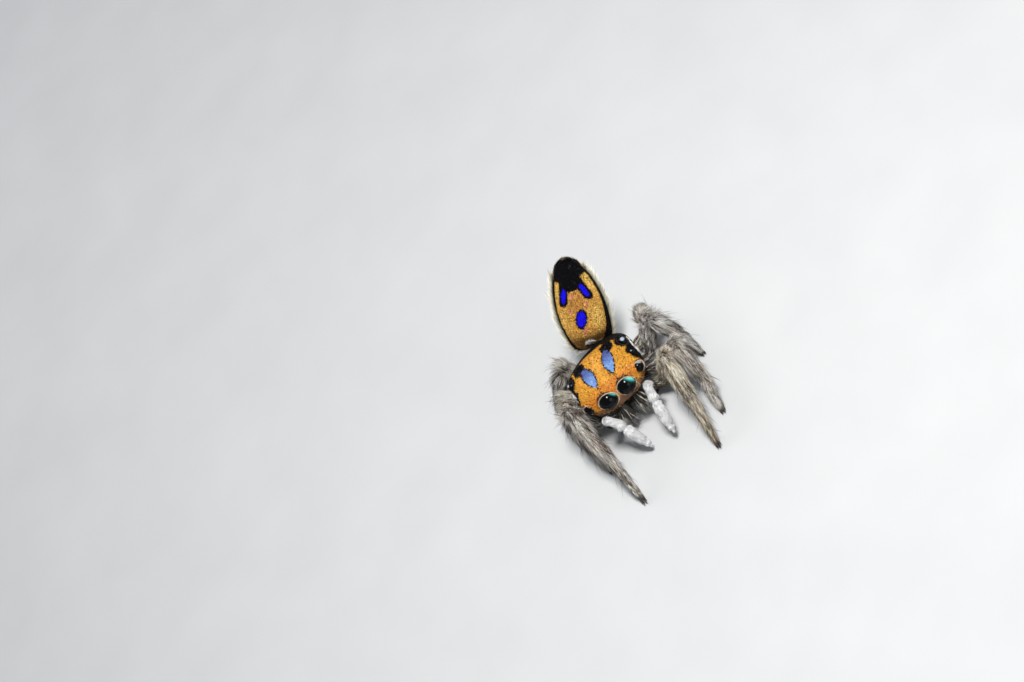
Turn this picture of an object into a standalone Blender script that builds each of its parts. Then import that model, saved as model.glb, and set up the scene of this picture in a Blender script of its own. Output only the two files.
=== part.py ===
"""A male peacock spider standing with its abdomen raised, as a still life-size model.

The spider faces -Y with its left side toward +X and its feet on the floor at z = 0. Every length below is in
millimetres of the real animal, which is about five millimetres long, and is turned into metres at the end. Places
are given as side (away from the middle), back and up.
"""

import math

import bmesh
import bpy
from mathutils import Matrix, Vector

MM = 0.001
SIDES = (("left", 1), ("right", -1))

# Gaps between neighbouring parts, fine ones, because the whole animal is only five millimetres long.
JOINT_GAP = 0.07
SOCKET_GAP = 0.04

# Carapace, the shield over the head and chest.
CARAPACE_WIDTH = 1.94
CARAPACE_FRONT = -1.12
CARAPACE_REAR = 1.2
CARAPACE_TOP = 1.86
CARAPACE_FLOOR = 0.70
CHEEK_FLOOR = 0.98
FACE_STARTS = -0.45
FACE_DROP = 0.10
REAR_DROP = 0.94
SIDE_LEAN = 0.2
FLAT_TOP_REAR = 0.05
SIDES_NARROW_FROM = -0.05
CARAPACE_SIDES = 24
CARAPACE_RINGS = 14

# Eyes: side, forward, up and radius of the left one of each pair, and the facets round and over it.
EYES = {
    "eye_main": (0.29, -1.04, 1.45, 0.25),
    "eye_front_side": (0.79, -0.90, 1.48, 0.145),
    "eye_small": (0.87, -0.50, 1.60, 0.065),
    "eye_rear": (0.84, -0.10, 1.66, 0.12),
}
EYE_FACETS = {"eye_main": (16, 10), "eye_front_side": (14, 8), "eye_small": (10, 6), "eye_rear": (12, 8)}

# Sternum, the plate under the chest: back, half width, and height of its lower and upper side at each section.
STERNUM = (
    (-0.86, 0.10, 0.40, 0.60),
    (-0.80, 0.20, 0.33, 0.63),
    (-0.55, 0.27, 0.30, 0.64),
    (-0.10, 0.285, 0.27, 0.64),
    (0.35, 0.285, 0.27, 0.64),
    (0.70, 0.26, 0.29, 0.64),
    (0.92, 0.14, 0.36, 0.62),
)
STERNUM_SIDES = 16

# Pedicel, the waist: place and half thickness.
PEDICEL = ((0.0, 1.0, 0.47, 0.09), (0.0, 1.14, 0.48, 0.11), (-0.02, 1.24, 0.52, 0.11), (-0.04, 1.29, 0.61, 0.09))
PEDICEL_SIDES = 12

# Abdomen: raised from level, leaning to the left, and turned a little about its own length. Its patterned back is
# flatter than its belly, and slopes in where the base passes behind the carapace.
ABDOMEN_LENGTH = 2.68
ABDOMEN_WIDTH = 1.27
ABDOMEN_DEPTH = 1.0
ABDOMEN_WIDEST = 0.39
BASE_TAPER = 0.2
BASE_SLOPE = 0.24
BACK_SHARE, BELLY_SHARE = 0.82, 1.18
ABDOMEN_BASE = Vector((-0.06, 1.32, 0.71))
ABDOMEN_RAISE = math.radians(73.7)
ABDOMEN_LEAN = math.radians(23.8)
ABDOMEN_TURN = math.radians(-2)
ABDOMEN_SIDES = 20
ABDOMEN_RINGS = 16

# Fringe of stiff hair along both edges of the abdomen's back.
FRINGE_LOCKS = 10
FRINGE_START, FRINGE_END = 0.13, 0.87
FRINGE_SIZE = {"length": 0.30, "width": 0.05, "lift": 0.06, "thickness": 0.16}
FRINGE_LEAN = 0.55
FRINGE_ROOT = 0.04

# Spinnerets, a short cluster under the tip of the abdomen: distance from its root and half thickness.
SPINNERETS = ((0.0, 0.10), (0.10, 0.11), (0.20, 0.09), (0.27, 0.05))
SPINNERETS_AT = 0.81
SPINNERET_SIDES = 10

# Jaws: place and half thickness, from under the face to the fang, and the fang, which is folded inward.
JAW = (
    (0.225, -0.88, 0.92, 0.17),
    (0.235, -0.95, 0.81, 0.195),
    (0.245, -1.00, 0.65, 0.195),
    (0.25, -1.00, 0.50, 0.165),
    (0.235, -0.97, 0.39, 0.11),
)
FANG = ((0.29, -0.97, 0.42, 0.05), (0.23, -0.96, 0.31, 0.045), (0.14, -0.93, 0.28, 0.032))
FANG_TIP = (0.07, -0.88, 0.30)
JAW_SIDES = 10
FANG_SIDES = 6

# Hair in front of each jaw: the section that it grows from, its length, and its turns away from straight ahead.
JAW_HAIR = ((1, 0.34, (-0.9, 0.0, 0.9)), (3, 0.30, (-0.5, 0.5)), (5, 0.22, (-0.9, 0.0, 0.9)))
JAW_HAIR_SIZE = {"width": 0.11, "lift": 0.10, "thickness": 0.045}
JAW_HAIR_ROOT = 0.15

# Palps, the short white feelers at the mouth: place and half thickness of the arm, then joint and tip of the hand.
PALP_ARM = (
    (0.47, -0.84, 0.46, 0.09),
    (0.63, -1.06, 0.66, 0.11),
    (0.71, -1.17, 0.92, 0.115),
    (0.67, -1.27, 1.14, 0.11),
)
PALPS = {
    "left": ((0.60, -1.42, 1.02), (0.41, -2.14, 0.32)),
    "right": ((0.52, -1.42, 0.98), (0.29, -1.94, 0.24)),
}
# Share of the hand's length, rise over the straight line, and half thickness.
PALP_HAND = ((0.0, 0.0, 0.12), (0.30, 0.05, 0.15), (0.62, 0.04, 0.15), (0.90, 0.0, 0.10), (1.0, 0.0, 0.05))
PALP_SIDES = 8

# Legs: knee, ankle and toe of each. A toe always stands on the floor.
STANCE = {
    ("left", 1): ((1.43, -1.12, 1.28), (1.32, -2.34, 0.80), (1.09, -3.26)),
    ("left", 2): ((1.71, -0.62, 0.90), (1.80, -1.76, 0.58), (1.64, -2.50)),
    ("left", 3): ((1.60, 0.12, 1.48), (1.93, -0.30, 0.82), (2.00, -0.64)),
    ("left", 4): ((1.45, 0.72, 0.62), (1.36, 1.40, 0.46), (1.40, 1.88)),
    ("right", 1): ((1.32, -0.47, 1.34), (1.20, -1.94, 0.80), (1.20, -3.06)),
    ("right", 2): ((1.47, -0.02, 0.75), (1.53, -1.08, 0.45), (1.52, -1.62)),
    ("right", 3): ((1.36, 0.60, 0.70), (1.72, 0.10, 0.30), (1.80, -0.32)),
    ("right", 4): ((0.94, 1.16, 1.04), (1.56, 1.04, 0.42), (1.88, 1.14)),
}
HIP_BACK = {1: -0.57, 2: -0.15, 3: 0.26, 4: 0.66}
HIP_SIDE = 0.50
HIP_HEIGHT = 0.40
HIP_REACH = 0.50
HIP_RISE = 0.04
SHIN_BOW = 0.07
TOE_HEIGHT = 0.035
TOE_POINT = 0.05
LEG_SIDES = 8

# Half thickness of a hairy leg, from the body to the toe.
LEG_HALF = {
    "root": 0.145,
    "hip": 0.17,
    "thigh": 0.225,
    "knee": 0.225,
    "shin_top": 0.245,
    "shin": 0.235,
    "ankle": 0.18,
    "instep": 0.15,
    "toe": 0.085,
}

# Sections of a limb at its joints, counted from the body.
KNEE, ANKLE = 6, 12
PALP_BEND = 6

# Coats: the sections between which the locks grow, the tiers, the locks round each, their length as a share of
# that stretch, their width, and the lift of their tips.
COATS = {
    "thigh": (2.4, 5.2, 2, 4, 0.62, 0.22, 0.06),
    "shin": (6.8, 11.8, 3, 4, 0.42, 0.23, 0.08),
    "foot": (12.3, 15.4, 3, 3, 0.42, 0.17, 0.06),
    "palp_arm": (2.6, 5.5, 2, 3, 0.55, 0.12, 0.03),
    "palp_hand": (7.0, 14.5, 3, 3, 0.42, 0.17, 0.05),
}
LOCK_THICKNESS = 0.05
LOCK_ROOT = 0.03
LOWEST_LOCK = 0.06
# A lock's sections, as shares of its length, of its lift and of its width.
LOCK_SECTIONS = ((0.0, 0.0, 0.8), (0.35, 0.7, 1.0), (0.7, 0.95, 0.62))

# Size of the blocks that cut a bend apart and the soles level.
BEND_CUT = 0.5
SOLE_CUT = Vector((4, 4, 0.5))

# Colour and roughness of each kind of part.
SURFACES = {
    "eye": ((0.01, 0.03, 0.04), 0.08),
    "carapace": ((0.62, 0.27, 0.05), 0.6),
    "abdomen": ((0.55, 0.36, 0.10), 0.6),
    "palp": ((0.85, 0.85, 0.82), 0.7),
    "leg": ((0.36, 0.32, 0.28), 0.8),
    "chelicera": ((0.20, 0.15, 0.10), 0.7),
}
DARK_CUTICLE = ((0.10, 0.08, 0.07), 0.7)


def mesh_object(name, shape):
    """A new object in the scene holding the given editable mesh."""
    bmesh.ops.recalc_face_normals(shape, faces=shape.faces)
    mesh = bpy.data.meshes.new(name)
    shape.to_mesh(mesh)
    shape.free()
    made = bpy.data.objects.new(name, mesh)
    bpy.context.scene.collection.objects.link(made)
    return made


def loft(name, rings, start=None, end=None):
    """A closed skin over rings of points. An end is a fan to a point where one is given, and else flat."""
    shape = bmesh.new()
    loops = [[shape.verts.new(point) for point in ring] for ring in rings]
    for lower, upper in zip(loops, loops[1:]):
        for i in range(len(lower)):
            j = (i + 1) % len(lower)
            shape.faces.new((lower[i], lower[j], upper[j], upper[i]))
    for ring, point in ((loops[0], start), (loops[-1], end)):
        if point is None:
            shape.faces.new(ring)
            continue
        pole = shape.verts.new(point)
        for i in range(len(ring)):
            shape.faces.new((ring[i], ring[(i + 1) % len(ring)], pole))
    return mesh_object(name, shape)


def ball(name, centre, radius, segments, rings):
    shape = bmesh.new()
    bmesh.ops.create_uvsphere(shape, u_segments=segments, v_segments=rings, radius=radius)
    bmesh.ops.translate(shape, verts=shape.verts, vec=centre)
    return mesh_object(name, shape)


def applied(target, operation, others):
    """One exact Boolean of the target with all the others, which are then removed."""
    group = bpy.data.collections.new(target.name + "_pieces")
    bpy.context.scene.collection.children.link(group)
    for other in others:
        group.objects.link(other)
    modifier = target.modifiers.new("join", "BOOLEAN")
    modifier.operation = operation
    modifier.solver = "EXACT"
    modifier.operand_type = "COLLECTION"
    modifier.collection = group
    bpy.context.view_layer.update()
    graph = bpy.context.evaluated_depsgraph_get()
    result = bpy.data.meshes.new_from_object(target.evaluated_get(graph))
    target.modifiers.clear()
    target.data = result
    for other in others:
        bpy.data.objects.remove(other)
    bpy.data.collections.remove(group)
    keep_largest(target)


def keep_largest(target):
    """Only the closed surface with the largest extent stays."""
    shape = bmesh.new()
    shape.from_mesh(target.data)
    unseen = set(shape.verts)
    islands = []
    while unseen:
        island = {unseen.pop()}
        front = list(island)
        while front:
            vert = front.pop()
            for edge in vert.link_edges:
                other = edge.other_vert(vert)
                if other in unseen:
                    unseen.remove(other)
                    island.add(other)
                    front.append(other)
        islands.append(island)

    def extent(island):
        sides = [[vert.co[axis] for vert in island] for axis in range(3)]
        return sum(max(side) - min(side) for side in sides)

    islands.sort(key=extent)
    for island in islands[:-1]:
        bmesh.ops.delete(shape, geom=list(island), context="VERTS")
    shape.to_mesh(target.data)
    shape.free()


def eased(count):
    """Shares from 0 to 1, close together near both ends, with the ends themselves left out."""
    return [(1 - math.cos(math.pi * i / (count - 1))) / 2 for i in range(1, count - 1)]


def placed(table, sign=1):
    """A table of places and half thicknesses as stations of a limb, on one side of the body."""
    return [(Vector((sign * side, back, up)), half) for side, back, up, half in table]


def smooth_path(stations):
    """Places and half widths along a limb, with one more between each two, on a curve through them."""
    path = []
    last = len(stations) - 1
    for i, (here, half) in enumerate(stations):
        path.append((here, half))
        if i == last:
            break
        after, after_half = stations[i + 1]
        before = stations[max(i - 1, 0)][0]
        beyond = stations[min(i + 2, last)][0]
        middle = (here + after) * 0.5625 - (before + beyond) * 0.0625
        path.append((middle, (half + after_half) / 2))
    return path


def tube_rings(path, sides):
    """Rings across a path, with no twist between them, and the direction of the path at each."""
    rings = []
    across = None
    for i, (here, half) in enumerate(path):
        before = path[max(i - 1, 0)][0]
        after = path[min(i + 1, len(path) - 1)][0]
        along = (after - before).normalized()
        if across is None:
            across = along.cross(Vector((0, 0, 1))).normalized()
        across = (across - along * across.dot(along)).normalized()
        over = across.cross(along)
        ring = []
        for k in range(sides):
            angle = math.tau * k / sides
            ring.append(here + across * half * math.cos(angle) + over * half * math.sin(angle))
        rings.append((ring, along))
    return rings


def bare(rings):
    """The rings of a limb without their directions."""
    return [ring for ring, _ in rings]


def middle_of(ring):
    return sum(ring, Vector()) / len(ring)


def shifted(ring, by):
    return [point + by for point in ring]


def lock(root, lie, out, length, width, lift, thickness=LOCK_THICKNESS):
    """A flat tapered lock of hair. It grows from inside the limb, leans along its lie and lifts to its tip."""
    side = lie.cross(out).normalized()
    rings = []
    for along, rise, broad in LOCK_SECTIONS:
        sunk = thickness if along == 0 else 0
        centre = root + lie * length * along + out * (lift * rise - sunk)
        half = side * width * broad / 2
        thin = out * thickness * broad / 2
        rings.append([centre + half, centre + thin, centre - half, centre - thin])
    return loft("lock", rings, end=root + lie * length + out * lift)


def coat(kind, rings):
    """Overlapping locks in tiers down a limb. Each tier is turned by half a lock from the one before."""
    first, last, tiers, around, reach, width, lift = COATS[kind]
    start, stop = (middle_of(rings[place][0]) for place in (math.floor(first), math.ceil(last)))
    length = reach * (start - stop).length
    locks = []
    for tier in range(tiers):
        place = first + (last - first) * (1 - reach) * tier / (tiers - 1)
        index = int(place)
        ring, along = rings[index]
        after = rings[index + 1][0]
        for k in range(around):
            turn = (k + 0.5 * (tier % 2)) / around * len(ring)
            low = int(turn) % len(ring)
            high = (low + 1) % len(ring)
            here = ring[low].lerp(ring[high], turn - int(turn))
            there = after[low].lerp(after[high], turn - int(turn))
            out = (here - middle_of(ring)).normalized()
            out = (out - along * out.dot(along)).normalized()
            root = here.lerp(there, place - index) - out * LOCK_ROOT
            lie = (there - here).normalized()
            if (root + lie * length).z > LOWEST_LOCK:
                locks.append(lock(root, lie, out, length, width, lift))
    return locks


def part_at(inner, outer, bend):
    """Cuts both parts back by half the gap where they bend, so that they meet on two parallel faces."""
    ring, along = bend
    for part, beyond in ((inner, along), (outer, -along)):
        shape = bmesh.new()
        bmesh.ops.create_cube(shape, size=BEND_CUT)
        turn = beyond.to_track_quat("Z", "Y").to_matrix().to_4x4()
        place = Matrix.Translation(middle_of(ring) + beyond * (BEND_CUT + JOINT_GAP) / 2) @ turn
        bmesh.ops.transform(shape, matrix=place, verts=shape.verts)
        applied(part, "DIFFERENCE", [mesh_object("bend_cut", shape)])


def carapace_ring(back):
    """One cross section of the carapace: broad and flat above, rounded at the shoulders, leaning in below."""
    front_share = max(0.0, (FACE_STARTS - back) / (FACE_STARTS - CARAPACE_FRONT))
    rear_share = max(0.0, (back - SIDES_NARROW_FROM) / (CARAPACE_REAR - SIDES_NARROW_FROM))
    fall_share = max(0.0, (back - FLAT_TOP_REAR) / (CARAPACE_REAR - FLAT_TOP_REAR))
    half = CARAPACE_WIDTH / 2
    half *= (1 - front_share ** 3.4) ** (1 / 3.4)
    half *= (1 - rear_share ** 2.1) ** (1 / 2.1)
    top = CARAPACE_TOP - FACE_DROP * front_share ** 2 - REAR_DROP * fall_share ** 1.15
    bottom = CARAPACE_FLOOR + (CHEEK_FLOOR - CARAPACE_FLOOR) * min(1.0, 1.5 * front_share) + 0.04 * rear_share
    edge = front_share ** 8
    top -= (top - bottom) * 0.22 * edge
    bottom += (top - bottom) * 0.12 * edge
    middle = (top + bottom) / 2
    power = 2 / (3.1 - 0.8 * min(1.0, 2 * fall_share))
    ring = []
    for k in range(CARAPACE_SIDES):
        angle = math.tau * k / CARAPACE_SIDES
        across = math.copysign(abs(math.cos(angle)) ** power, math.cos(angle))
        up = math.copysign(abs(math.sin(angle)) ** power, math.sin(angle))
        lean = 1 - SIDE_LEAN * max(0.0, -up) ** 1.5
        ring.append(Vector((half * across * lean, back, middle + (top - bottom) / 2 * up)))
    return ring


def eye_place(name, sign):
    side, back, up, radius = EYES[name]
    return Vector((sign * side, back, up)), radius


def make_carapace():
    """The shield, with a round socket for each of the eight eyes."""
    length = CARAPACE_REAR - CARAPACE_FRONT
    rings = [carapace_ring(CARAPACE_FRONT + length * share) for share in eased(CARAPACE_RINGS + 2)]
    shield = loft("carapace", rings)
    sockets = []
    for name in EYES:
        for _, sign in SIDES:
            centre, radius = eye_place(name, sign)
            sockets.append(ball("socket", centre, radius + SOCKET_GAP, *EYE_FACETS[name]))
    applied(shield, "DIFFERENCE", sockets)


def make_eyes():
    for name in EYES:
        for word, sign in SIDES:
            centre, radius = eye_place(name, sign)
            ball(f"{name}_{word}", centre, radius, *EYE_FACETS[name])


def make_sternum():
    """The plate under the chest, with the lip at its front, between the roots of the legs."""
    rings = []
    for back, half, low, high in STERNUM:
        ring = []
        for k in range(STERNUM_SIDES):
            angle = math.tau * k / STERNUM_SIDES
            ring.append(Vector((half * math.cos(angle), back, (low + high + (high - low) * math.sin(angle)) / 2)))
        rings.append(ring)
    loft("sternum", rings)


def make_pedicel():
    """The thin waist between the carapace and the abdomen."""
    loft("pedicel", bare(tube_rings(placed(PEDICEL), PEDICEL_SIDES)))


def abdomen_frame():
    """Directions of the abdomen: along it to its tip, across it to its left, and out of its back."""
    stand = Vector((0, math.cos(ABDOMEN_RAISE), math.sin(ABDOMEN_RAISE)))
    side = Vector((1, 0, 0))
    along = stand * math.cos(ABDOMEN_LEAN) + side * math.sin(ABDOMEN_LEAN)
    across = side * math.cos(ABDOMEN_LEAN) - stand * math.sin(ABDOMEN_LEAN)
    turned = Matrix.Rotation(ABDOMEN_TURN, 3, along) @ across
    return along, turned, turned.cross(along)


def abdomen_half(share):
    """Half of the abdomen's width at a share of its length: blunt at the base, and half an ellipse to the tip."""
    if share > ABDOMEN_WIDEST:
        away = (share - ABDOMEN_WIDEST) / (1 - ABDOMEN_WIDEST)
        return ABDOMEN_WIDTH / 2 * math.sqrt(1 - away * away)
    away = (ABDOMEN_WIDEST - share) / ABDOMEN_WIDEST
    return ABDOMEN_WIDTH / 2 * (1 - BASE_TAPER * away ** 1.5) * (1 - away ** 10) ** 0.43


def abdomen_point(share, angle):
    along, across, back = abdomen_frame()
    half = abdomen_half(share)
    centre = ABDOMEN_BASE + along * ABDOMEN_LENGTH * share
    rise = math.sin(angle)
    part = BACK_SHARE * min(1.0, 0.15 + share / BASE_SLOPE) if rise > 0 else BELLY_SHARE
    tall = half * ABDOMEN_DEPTH / ABDOMEN_WIDTH * part
    return centre + across * half * math.cos(angle) + back * tall * rise


def fringe_lock(share, side):
    """One lock of the fringe, growing outward from the left or right edge and leaning toward the tip."""
    _, across, back = abdomen_frame()
    here = abdomen_point(share, 0.0 if side > 0 else math.pi)
    after = abdomen_point(share + 0.02, 0.0 if side > 0 else math.pi)
    edge = (after - here).normalized()
    out = edge.cross(back).normalized()
    if out.dot(across) * side < 0:
        out.negate()
    lie = (edge + out * FRINGE_LEAN).normalized()
    rise = (out - lie * out.dot(lie)).normalized()
    return lock(here - out * FRINGE_ROOT, lie, rise, **FRINGE_SIZE)


def make_abdomen():
    """The raised abdomen, flatter on its patterned back, with a fringe of hair along both edges."""
    rings = []
    for share in eased(ABDOMEN_RINGS):
        rings.append([abdomen_point(share, math.tau * k / ABDOMEN_SIDES) for k in range(ABDOMEN_SIDES)])
    tip = ABDOMEN_BASE + abdomen_frame()[0] * ABDOMEN_LENGTH
    body = loft("abdomen", rings, start=ABDOMEN_BASE, end=tip)
    fringe = []
    for _, side in SIDES:
        for i in range(FRINGE_LOCKS):
            share = FRINGE_START + (FRINGE_END - FRINGE_START) * i / (FRINGE_LOCKS - 1)
            fringe.append(fringe_lock(share, side))
    applied(body, "UNION", fringe)


def make_spinnerets():
    """The short cluster of spinnerets under the tip of the abdomen."""
    along, _, back = abdomen_frame()
    root = abdomen_point(SPINNERETS_AT, -math.pi / 2) - back * JOINT_GAP
    lie = (along * 0.45 - back * 0.9).normalized()
    stations = [(root + lie * distance, half) for distance, half in SPINNERETS]
    loft("spinnerets", bare(tube_rings(stations, SPINNERET_SIDES)))


def make_chelicera(word, sign):
    """One jaw: a stout tapering piece hanging under the face, with its fang folded inward and hair in front."""
    rings = tube_rings(smooth_path(placed(JAW, sign)), JAW_SIDES)
    jaw = loft(f"chelicera_{word}", bare(rings))
    fang_tip = Vector((sign * FANG_TIP[0], *FANG_TIP[1:]))
    grown = [loft("fang", bare(tube_rings(placed(FANG, sign), FANG_SIDES)), end=fang_tip)]
    for section, length, turns in JAW_HAIR:
        ring, along = rings[section]
        for turn in turns:
            out = Vector((math.sin(turn) * sign, -math.cos(turn), 0))
            out = (out - along * out.dot(along)).normalized()
            root = middle_of(ring) + out * JAW_HAIR_ROOT
            grown.append(lock(root, along, out, length, **JAW_HAIR_SIZE))
    applied(jaw, "UNION", grown)


def make_palp(word, sign):
    """One feeler in two nodes: the arm that rises beside the jaws, and the white end that hangs forward."""
    joint, tip = (Vector((sign * side, back, up)) for side, back, up in PALPS[word])
    hand = [(joint.lerp(tip, share) + Vector((0, 0, rise)), half) for share, rise, half in PALP_HAND]
    rings = tube_rings(smooth_path(placed(PALP_ARM, sign) + hand), PALP_SIDES)
    arm_node = loft(f"palp_arm_{word}", bare(rings[: PALP_BEND + 1]))
    hand_node = loft(f"palp_hand_{word}", bare(rings[PALP_BEND:]))
    part_at(arm_node, hand_node, rings[PALP_BEND])
    applied(arm_node, "UNION", coat("palp_arm", rings))
    applied(hand_node, "UNION", coat("palp_hand", rings))


def leg_stations(word, sign, number):
    """Places and half thicknesses down a leg, from its root under the body to its toe on the floor."""
    knee, ankle, toe = STANCE[word, number]
    root = Vector((sign * HIP_SIDE, HIP_BACK[number], HIP_HEIGHT))
    knee = Vector((sign * knee[0], knee[1], knee[2]))
    ankle = Vector((sign * ankle[0], ankle[1], ankle[2]))
    toe = Vector((sign * toe[0], toe[1], TOE_HEIGHT))
    level = Vector((knee.x - root.x, knee.y - root.y, 0)).normalized()
    hip = root + level * HIP_REACH + Vector((0, 0, HIP_RISE))
    bow = Vector((0, 0, SHIN_BOW))
    return [
        (root, LEG_HALF["root"]),
        (hip, LEG_HALF["hip"]),
        (hip.lerp(knee, 0.55), LEG_HALF["thigh"]),
        (knee, LEG_HALF["knee"]),
        (knee.lerp(ankle, 0.35) + bow, LEG_HALF["shin_top"]),
        (knee.lerp(ankle, 0.7) + bow, LEG_HALF["shin"]),
        (ankle, LEG_HALF["ankle"]),
        (ankle.lerp(toe, 0.5) + bow / 2, LEG_HALF["instep"]),
        (toe, LEG_HALF["toe"]),
    ]


def level_sole(foot):
    """The sole is cut flat where the toe stands on the floor."""
    shape = bmesh.new()
    bmesh.ops.create_cube(shape, size=1.0)
    centre = middle_of([vert.co for vert in foot.data.vertices])
    bmesh.ops.scale(shape, verts=shape.verts, vec=SOLE_CUT)
    bmesh.ops.translate(shape, verts=shape.verts, vec=(centre.x, centre.y, -SOLE_CUT.z / 2))
    applied(foot, "DIFFERENCE", [mesh_object("floor_cut", shape)])


def make_leg(word, sign, number):
    """One leg in three nodes that meet at the knee and at the ankle, each with its own tiers of hair."""
    rings = tube_rings(smooth_path(leg_stations(word, sign, number)), LEG_SIDES)
    ankle, along = rings[ANKLE]
    shin_end = shifted(ankle, along * -JOINT_GAP / 2)
    foot_start = shifted(ankle, along * JOINT_GAP / 2)
    last, toe_along = rings[-1]
    toe_point = middle_of(last) + toe_along * TOE_POINT
    thigh = loft(f"leg{number}_{word}_thigh", bare(rings[: KNEE + 1]))
    shin = loft(f"leg{number}_{word}_shin", [*bare(rings[KNEE:ANKLE]), shin_end])
    foot = loft(f"leg{number}_{word}_foot", [foot_start, *bare(rings[ANKLE + 1 :])], end=toe_point)
    part_at(thigh, shin, rings[KNEE])
    level_sole(foot)
    for kind, part in (("thigh", thigh), ("shin", shin), ("foot", foot)):
        applied(part, "UNION", coat(kind, rings))


def paint(part):
    """Gives a part its own material, in the colour of its kind."""
    kind = part.name.split("_")[0].rstrip("1234")
    colour, roughness = SURFACES.get(kind, DARK_CUTICLE)
    made = bpy.data.materials.new(part.name)
    made.use_nodes = True
    shader = made.node_tree.nodes["Principled BSDF"]
    shader.inputs["Base Color"].default_value = (*colour, 1.0)
    shader.inputs["Roughness"].default_value = roughness
    shader.inputs["Metallic"].default_value = 0.0
    part.data.materials.clear()
    part.data.materials.append(made)
    part.data.shade_smooth()


def to_metres(parts):
    """Sets the whole spider over the middle of the floor that it covers, in metres."""
    corners = [vert.co for part in parts for vert in part.data.vertices]
    low = Vector(min(point[axis] for point in corners) for axis in range(3))
    high = Vector(max(point[axis] for point in corners) for axis in range(3))
    centre = Vector(((low.x + high.x) / 2, (low.y + high.y) / 2, 0))
    for part in parts:
        part.data.transform(Matrix.Scale(MM, 4) @ Matrix.Translation(-centre))


for old in list(bpy.data.objects):
    bpy.data.objects.remove(old)
make_carapace()
make_eyes()
make_sternum()
make_pedicel()
make_abdomen()
make_spinnerets()
for word, sign in SIDES:
    make_chelicera(word, sign)
    make_palp(word, sign)
    for number in HIP_BACK:
        make_leg(word, sign, number)
spider = list(bpy.context.scene.collection.objects)
for part in spider:
    paint(part)
to_metres(spider)
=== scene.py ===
"""Dresses a male peacock spider, standing still with its abdomen raised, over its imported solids."""

import math

import bpy
import numpy as np
from mathutils import Matrix, Vector, kdtree


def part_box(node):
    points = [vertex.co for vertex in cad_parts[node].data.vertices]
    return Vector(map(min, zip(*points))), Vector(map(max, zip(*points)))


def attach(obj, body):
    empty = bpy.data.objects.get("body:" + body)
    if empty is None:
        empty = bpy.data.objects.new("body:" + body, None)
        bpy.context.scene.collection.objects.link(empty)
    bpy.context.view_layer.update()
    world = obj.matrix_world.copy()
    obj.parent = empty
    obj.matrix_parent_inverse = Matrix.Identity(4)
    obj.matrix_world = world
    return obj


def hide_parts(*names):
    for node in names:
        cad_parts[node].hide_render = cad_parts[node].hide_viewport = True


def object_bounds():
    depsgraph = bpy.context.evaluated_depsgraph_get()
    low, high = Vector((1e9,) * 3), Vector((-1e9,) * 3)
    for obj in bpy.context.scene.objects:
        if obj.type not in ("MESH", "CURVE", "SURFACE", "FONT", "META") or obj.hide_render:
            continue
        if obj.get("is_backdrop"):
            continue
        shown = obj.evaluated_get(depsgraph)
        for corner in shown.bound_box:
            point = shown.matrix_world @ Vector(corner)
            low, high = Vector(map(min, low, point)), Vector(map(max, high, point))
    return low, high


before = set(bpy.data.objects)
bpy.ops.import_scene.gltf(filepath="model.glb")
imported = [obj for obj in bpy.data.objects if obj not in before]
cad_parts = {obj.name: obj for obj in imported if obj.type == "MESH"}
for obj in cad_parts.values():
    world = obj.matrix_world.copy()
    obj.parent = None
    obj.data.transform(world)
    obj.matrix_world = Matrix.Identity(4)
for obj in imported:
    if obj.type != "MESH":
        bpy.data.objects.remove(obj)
solid_low, solid_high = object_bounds()

# The skin of the whole spider.
# A real spider wears one hard outer skin over head, chest, legs and abdomen, thin and folded at the joints.
# It is made as one closed shell round all of these, under the coat, and the eyes and claws are set into it.
MM = 0.001
TAU = math.tau
MAIN_EYE_BACK = -1.04
main_eyes = [corner for word in ("left", "right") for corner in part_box(f"eye_main_{word}")]
eyes_side, eyes_back = (sum(corner[axis] for corner in main_eyes) / 4 / MM for axis in (0, 1))
HOME = np.array([eyes_side, eyes_back - MAIN_EYE_BACK, 0.0])


def in_row(points):
    """Places measured in millimetres from under the carapace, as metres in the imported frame."""
    return (np.asarray(points, float) + HOME) * MM


def unit(vectors):
    return vectors / np.maximum(np.linalg.norm(vectors, axis=-1, keepdims=True), 1e-12)


def ramp(value, start, end):
    """0 before start and 1 after end, smooth between them."""
    share = np.clip((np.asarray(value, float) - start) / (end - start), 0, 1)
    return share * share * (3 - 2 * share)


def limb_surface(stations, thickness=1.0):
    """A limb with round sections on a smooth curve through its stations, by share and turn."""
    places = np.array([place for place, _ in stations], float)
    halves = np.array([half for _, half in stations], float) * thickness
    before = np.vstack([2 * places[0] - places[1], places[:-1]])
    after = np.vstack([places[1:], 2 * places[-1] - places[-2]])
    slopes = (after - before) / 2
    centres, widths = [], []
    for i in range(len(places) - 1):
        for t in np.arange(8) / 8:
            bend = (2 * t**3 - 3 * t**2 + 1, t**3 - 2 * t**2 + t, -2 * t**3 + 3 * t**2, t**3 - t**2)
            centres.append(
                bend[0] * places[i]
                + bend[1] * slopes[i]
                + bend[2] * places[i + 1]
                + bend[3] * slopes[i + 1]
            )
            widths.append(halves[i] + (halves[i + 1] - halves[i]) * ramp(t, 0, 1))
    centres = np.array([*centres, places[-1]])
    widths = np.array([*widths, halves[-1]])
    forward = unit(np.gradient(centres, axis=0))
    across = np.zeros_like(forward)
    side = unit(np.cross(forward[0], (0, 0, 1)))
    for i, along in enumerate(forward):
        side = unit(side - along * np.dot(side, along))
        across[i] = side
    over = np.cross(across, forward)
    steps = np.linspace(0, 1, len(centres))

    def at(table, share):
        return np.stack([np.interp(share, steps, table[:, axis]) for axis in range(3)], -1)

    def surface(share, turn):
        half = np.interp(share, steps, widths)[..., None]
        ring = at(across, share) * np.cos(turn)[..., None] + at(over, share) * np.sin(turn)[..., None]
        return at(centres, share) + ring * half

    return surface


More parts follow.
